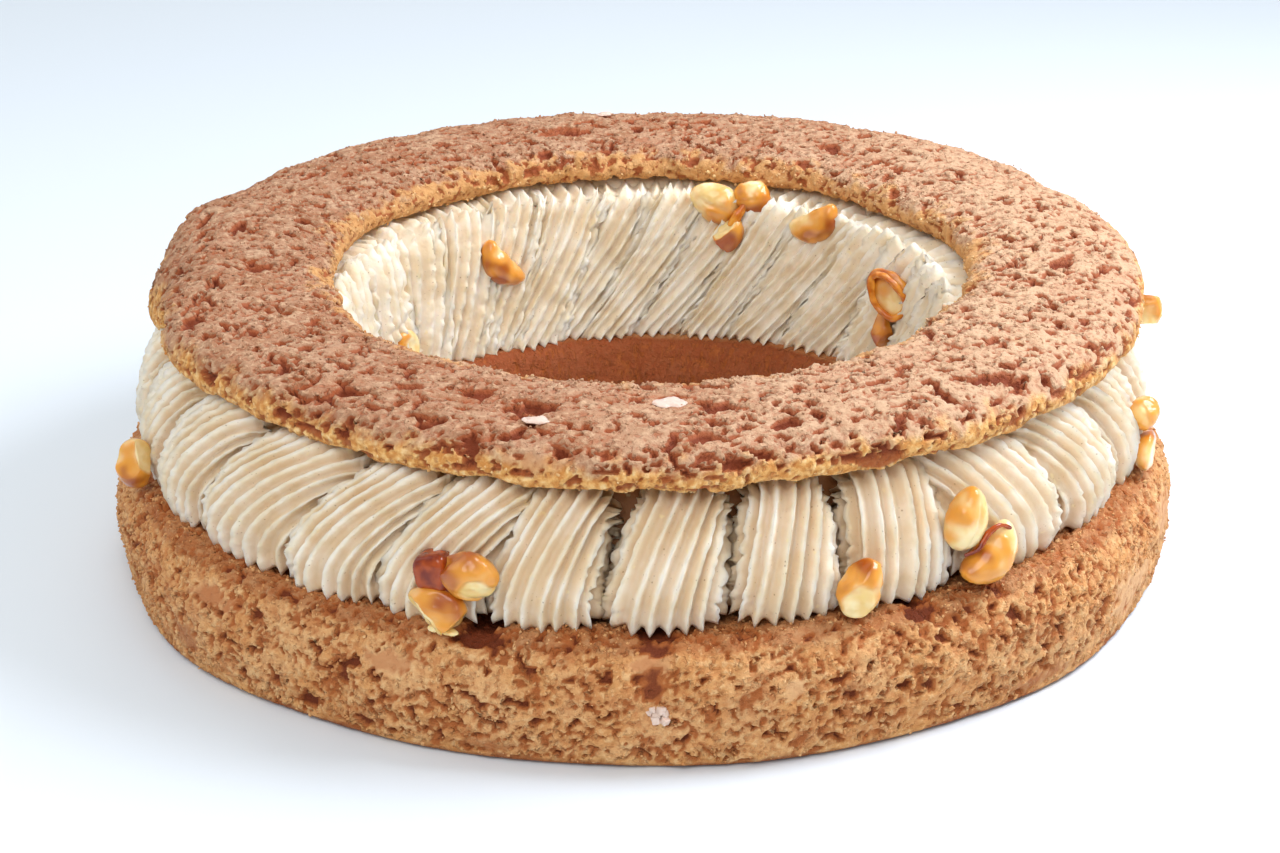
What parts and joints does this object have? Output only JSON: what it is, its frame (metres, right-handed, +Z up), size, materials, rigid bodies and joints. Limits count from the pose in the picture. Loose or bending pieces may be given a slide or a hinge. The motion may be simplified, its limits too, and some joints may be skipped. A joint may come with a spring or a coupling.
{
  "type": "filled choux pastry ring",
  "caption": "Ring of crackled choux pastry cut into a base and a lid, filled with piped praline cream and caramelised nut pieces.",
  "frame": {"origin": "centre of the ring on the surface that it rests on", "axes": "+Z up along the ring's axis, -Y towards the front, +X to the right seen from the front"},
  "size_m": [0.2394, 0.2406, 0.0691],
  "materials": {
    "base_crust": "dry baked crumb, tan with darker crevices",
    "lid_crust": "dry crackled crumb, rosy brown, golden at the rims",
    "cream": "satin whipped cream, ivory beige with fine specks",
    "nut": "glossy amber caramel over a pale kernel"
  },
  "bodies": {
    "root": {"base_ring": "base_crust", "cream_ring": "cream", "lid_ring": "lid_crust", "nut_01": "nut", "nut_02": "nut", "nut_03": "nut", "nut_04": "nut", "nut_05": "nut", "nut_06": "nut", "nut_07": "nut", "nut_08": "nut", "nut_09": "nut", "nut_10": "nut", "nut_11": "nut", "nut_12": "nut", "nut_13": "nut", "nut_14": "nut", "nut_15": "nut", "nut_16": "nut", "nut_17": "nut", "nut_18": "nut", "nut_19": "nut", "nut_20": "nut", "nut_21": "nut", "nut_22": "nut", "nut_23": "nut", "nut_24": "nut"}
  },
  "joints": []
}
